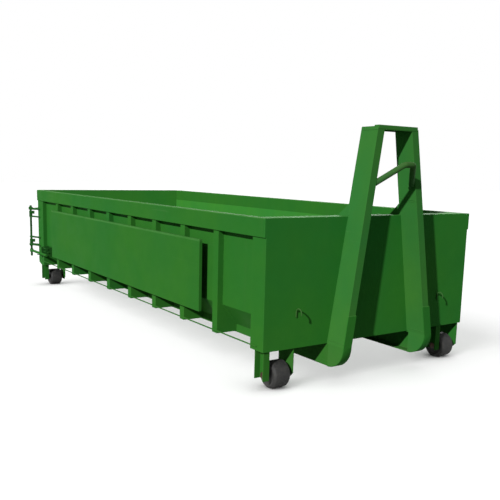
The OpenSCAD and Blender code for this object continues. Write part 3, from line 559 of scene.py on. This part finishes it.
def floor_welds():
    """Seams inside the box, and the welds between cross members and skid beams."""
    bm = bmesh.new()
    x0, x1 = REAR_X + 0.002, PLATE_BACK_X
    for s in (-1, 1):
        bead(bm, (x0, s * FLOOR_HALF_W, FLOOR_TOP_Z), (x1, s * FLOOR_HALF_W, FLOOR_TOP_Z), 0.003, s)
        bead(bm, (x1, s * SHEET_Y, SLOPE_TOP_Z), (x1, s * SHEET_Y, RAIL_TOP_Z - 0.1), 0.003, s * 2)
        bead(bm, (x1, s * FLOOR_HALF_W, FLOOR_TOP_Z), (x1, s * SHEET_Y, SLOPE_TOP_Z), 0.003, s * 3)
        for i, x in enumerate(RIB_X):
            for e in (-1, 1):
                xe = x + e * 0.040
                bead(bm, (xe, s * 0.460, BASE_Z), (xe, s * 0.524, BASE_Z), 0.0035, i + e)
                y = s * 0.955
                bead(bm, (xe, y, BASE_Z + 0.005), (xe, y, BASE_Z + 0.070), 0.003, i - e)
        for x in SHEET_SEAM_X:
            bead(bm, (x, s * SHEET_Y, SLOPE_TOP_Z), (x, s * SHEET_Y, RAIL_BOTTOM_Z), 0.0018, x)
            bead(bm, (x, s * FLOOR_HALF_W, FLOOR_TOP_Z), (x, s * SHEET_Y, SLOPE_TOP_Z), 0.0018, x)
        y = s * BEAM_IN_Y
        bead(bm, (PLATE_BACK_X, y, BASE_Z), (PLATE_BACK_X - 0.18, y, BASE_Z), 0.003, s)
    for x in SHEET_SEAM_X:
        bead(bm, (x, -FLOOR_HALF_W, FLOOR_TOP_Z), (x, FLOOR_HALF_W, FLOOR_TOP_Z), 0.0018, x)
    bead(bm, (x1, -FLOOR_HALF_W, FLOOR_TOP_Z), (x1, FLOOR_HALF_W, FLOOR_TOP_Z), 0.003, 4)
    mesh_object("welds_floor", bm, mat_inside, "container")


side_welds(-1, "right")
side_welds(1, "left")
frame_welds()
floor_welds()


# Small pieces that the solids leave out
def prism(bm, low_ring, high_ring):
    """A closed solid between two rings of as many points."""
    a = [bm.verts.new(p) for p in low_ring]
    b = [bm.verts.new(p) for p in high_ring]
    for i in range(len(a)):
        k = (i + 1) % len(a)
        bm.faces.new((a[i], a[k], b[k], b[i]))
    bm.faces.new(a[::-1])
    bm.faces.new(b)


def block(bm, low, high):
    """A box between two corners."""
    x0, y0, z0 = low
    x1, y1, z1 = high
    ring = ((x0, y0), (x1, y0), (x1, y1), (x0, y1))
    prism(bm, [(x, y, z0) for x, y in ring], [(x, y, z1) for x, y in ring])


def soften(obj, width, segments=2):
    """Rounded edges."""
    bevel = obj.modifiers.new("edges", "BEVEL")
    bevel.width = width
    bevel.segments = segments
    bevel.limit_method = "ANGLE"
    bevel.angle_limit = math.radians(32)
    bevel.harden_normals = True


def leg_backs():
    """The legs' rear edges stand a little behind the front plate's plane, above the rail."""
    for s, tag in ((-1, "right"), (1, "left")):
        bm = bmesh.new()
        rings = []
        for z in (RAIL_TOP_Z + 0.002, FRAME_TOP_Z - 0.001):
            yo, yi = s * (leg_out_y(z) - 0.0005), s * (leg_out_y(z) - LEG_W + 0.0005)
            rings.append([(FRONT_X - LEG_BACK, yo, z), (FRONT_X + 0.004, yo, z),
                          (FRONT_X + 0.004, yi, z), (FRONT_X - LEG_BACK, yi, z)])
        prism(bm, rings[0], rings[1])
        soften(mesh_object("leg_back_" + tag, bm, mat_frame, "container"), 0.006, 3)


def crossbar_lip():
    """The crossbar's front plate stands a little above the legs."""
    bm = bmesh.new()
    z0, z1 = FRAME_TOP_Z - CROSSBAR_H, FRAME_TOP_Z + 0.009
    half = FRAME_TOP_W / 2 - 0.004
    front = leg_front_x(FRAME_TOP_Z) + 0.0015
    block(bm, (front - 0.055, -half, z0 + 0.004), (front, half, z1))
    soften(mesh_object("crossbar_lip", bm, mat_frame, "container"), 0.004, 3)


def collar(bm, centre, inner, outer, height, sides=32):
    """A ring around an upright pin, with turned edges."""
    cx, cy, cz = centre
    c = 0.004
    half = height / 2
    profile = [(inner, -half), (outer - c, -half), (outer, -half + c), (outer, half - c), (outer - c, half),
               (inner, half)]
    rings = []
    for k in range(sides):
        a = 2 * math.pi * k / sides
        rings.append([bm.verts.new((cx + r * math.cos(a), cy + r * math.sin(a), cz + z)) for r, z in profile])
    for k in range(sides):
        a, b = rings[k], rings[(k + 1) % sides]
        for i in range(len(profile)):
            j = (i + 1) % len(profile)
            bm.faces.new((a[i], b[i], b[j], a[j]))


def lock_stiffeners():
    """Upright plates that carry the outer lug of each bearing pair of rod and lock shaft."""
    inner_x, outer_x = REAR_X - 0.004, HINGE_X + 0.026
    for s, tag in ((-1, "right"), (1, "left")):
        bm = bmesh.new()
        y0, y1 = s * 1.268, s * 1.292
        for z, h in ((1.127, 0.040), (0.616, -0.040)):
            outline = ((inner_x, z), (outer_x, z), (outer_x, z + 0.6 * h), (inner_x, z + h))
            near = (s * 1.203, y0, y0, s * 1.203)
            far = (s * 1.211, y1, y1, s * 1.211)
            prism(bm, [(x, y, v) for (x, v), y in zip(outline, near)],
                  [(x, y, v) for (x, v), y in zip(outline, far)])
            collar(bm, (HINGE_X, s * LOCK_Y, z + 0.5 * h), 0.0175, 0.031, abs(h))
        soften(mesh_object("lock_stiffeners_" + tag, bm, mat_fitting, "container"), 0.002)


def lever_rest():
    """The holder behind the lever's tip: two plates on the slope of the side, with two round bars."""
    bm = bmesh.new()

    def slope_y(z):
        return -1.002 - (z - FLOOR_TOP_Z) * (SHEET_OUT_Y - 1.003) / (SLOPE_TOP_Z - FLOOR_TOP_Z)

    for x in (-2.800, -2.612):
        outline = [(slope_y(0.604), 0.604), (-1.250, 0.598), (-1.256, 0.590),
                   (-1.256, 0.535), (-1.238, 0.478), (slope_y(0.470), 0.470)]
        prism(bm, [(x, y, z) for y, z in outline], [(x + 0.008, y, z) for y, z in outline])
    for y, z in ((-1.225, 0.578), (-1.215, 0.528)):
        tube(bm, [Vector((x, y, z)) for x in (-2.812, -2.7, -2.592)], [0.010] * 3, 16)
    soften(mesh_object("lever_rest", bm, mat_fitting, "container"), 0.0015)


leg_backs()
crossbar_lip()
lock_stiffeners()
lever_rest()


# Floor, light and world
def seen_rays(tree):
    """1 for the rays of the camera, of reflections and of glass, 0 for the light itself."""
    path = tree.nodes.new("ShaderNodeLightPath")
    total = path.outputs["Is Camera Ray"]
    for kind in ("Is Glossy Ray", "Is Transmission Ray"):
        add = tree.nodes.new("ShaderNodeMath")
        add.operation = "MAXIMUM"
        tree.links.new(total, add.inputs[0])
        tree.links.new(path.outputs[kind], add.inputs[1])
        total = add.outputs[0]
    return total


def make_floor():
    """The floor: pale where it is seen, darker for the light that it throws back."""
    bm = bmesh.new()
    bmesh.ops.create_grid(bm, x_segments=1, y_segments=1, size=60)
    mesh = bpy.data.meshes.new("floor")
    bm.to_mesh(mesh)
    bm.free()
    floor = bpy.data.objects.new("floor", mesh)
    bpy.context.scene.collection.objects.link(floor)
    mat = bpy.data.materials.new("floor")
    mat.use_nodes = True
    tree = mat.node_tree
    tree.nodes.clear()
    out = tree.nodes.new("ShaderNodeOutputMaterial")
    diffuse = tree.nodes.new("ShaderNodeBsdfDiffuse")
    pick = tree.nodes.new("ShaderNodeMix")
    pick.data_type = "RGBA"
    tree.links.new(seen_rays(tree), pick.inputs["Factor"])
    pick.inputs[6].default_value = (0.13, 0.13, 0.13, 1)
    pick.inputs[7].default_value = (0.88, 0.88, 0.88, 1)
    tree.links.new(pick.outputs[2], diffuse.inputs["Color"])
    tree.links.new(diffuse.outputs[0], out.inputs["Surface"])
    mesh.materials.append(mat)
    return floor


def sun(name, towards, strength, spread):
    """A sun lamp that shines towards a direction; its spread is in degrees."""
    data = bpy.data.lights.new(name, "SUN")
    data.energy = strength
    data.angle = math.radians(spread)
    obj = bpy.data.objects.new(name, data)
    obj.rotation_mode = "QUATERNION"
    obj.rotation_quaternion = Vector(towards).to_track_quat("-Z", "Y")
    bpy.context.scene.collection.objects.link(obj)
    return obj


def only_for(light, objects, state):
    """The light reaches only these objects (INCLUDE) or all but these (EXCLUDE)."""
    group = bpy.data.collections.new(light.name + "_receivers")
    for o in objects:
        group.objects.link(o)
    light.light_linking.receiver_collection = group
    for entry in group.collection_objects:
        entry.light_linking.link_state = state


def blocked_by(light, objects):
    """Only these objects stop the light."""
    group = bpy.data.collections.new(light.name + "_blockers")
    for o in objects:
        group.objects.link(o)
    light.light_linking.blocker_collection = group


def make_world():
    """An even, weak light from all around, in front of white."""
    world = bpy.data.worlds.new("studio")
    bpy.context.scene.world = world
    world.use_nodes = True
    tree = world.node_tree
    tree.nodes.clear()
    out = tree.nodes.new("ShaderNodeOutputWorld")
    lit = tree.nodes.new("ShaderNodeBackground")
    lit.inputs["Color"].default_value = (1.0, 1.0, 1.0, 1)
    lit.inputs["Strength"].default_value = WORLD_LIGHT
    seen = tree.nodes.new("ShaderNodeBackground")
    seen.inputs["Color"].default_value = (1, 1, 1, 1)
    pick = tree.nodes.new("ShaderNodeMixShader")
    tree.links.new(seen_rays(tree), pick.inputs[0])
    tree.links.new(lit.outputs[0], pick.inputs[1])
    tree.links.new(seen.outputs[0], pick.inputs[2])
    tree.links.new(pick.outputs[0], out.inputs["Surface"])


floor = make_floor()
key = sun("key", (-0.377, 0.792, -0.479), 3.5, 1.6)
only_for(key, [floor], "EXCLUDE")
# A soft lamp for the left side and the rear, which the key lamp doesn't reach
back = sun("back", (0.60, -0.72, -0.36), 2.0, 40.0)
only_for(back, [floor], "EXCLUDE")
# Two lamps for the floor alone: a weak one with the shadow of the container's nodes without the hook frame,
# and a strong one with the shadow of the rollers and what holds them
wide = sun("floor_wide", (-0.05, 1.20, -1.0), 1.8, 40.0)
near = sun("floor_near", (-0.20, -0.30, -1.0), 2.35, 100.0)
only_for(wide, [floor], "INCLUDE")
only_for(near, [floor], "INCLUDE")
standing = [n for n in nodes if n.startswith("roller_") or n.endswith("_brackets")]
blocked_by(near, [nodes[n] for n in standing])
blocked_by(wide, [nodes[n] for n in nodes if not n.startswith(("hook_", "leg_"))])
make_world()
bpy.context.scene.view_settings.view_transform = "Standard"
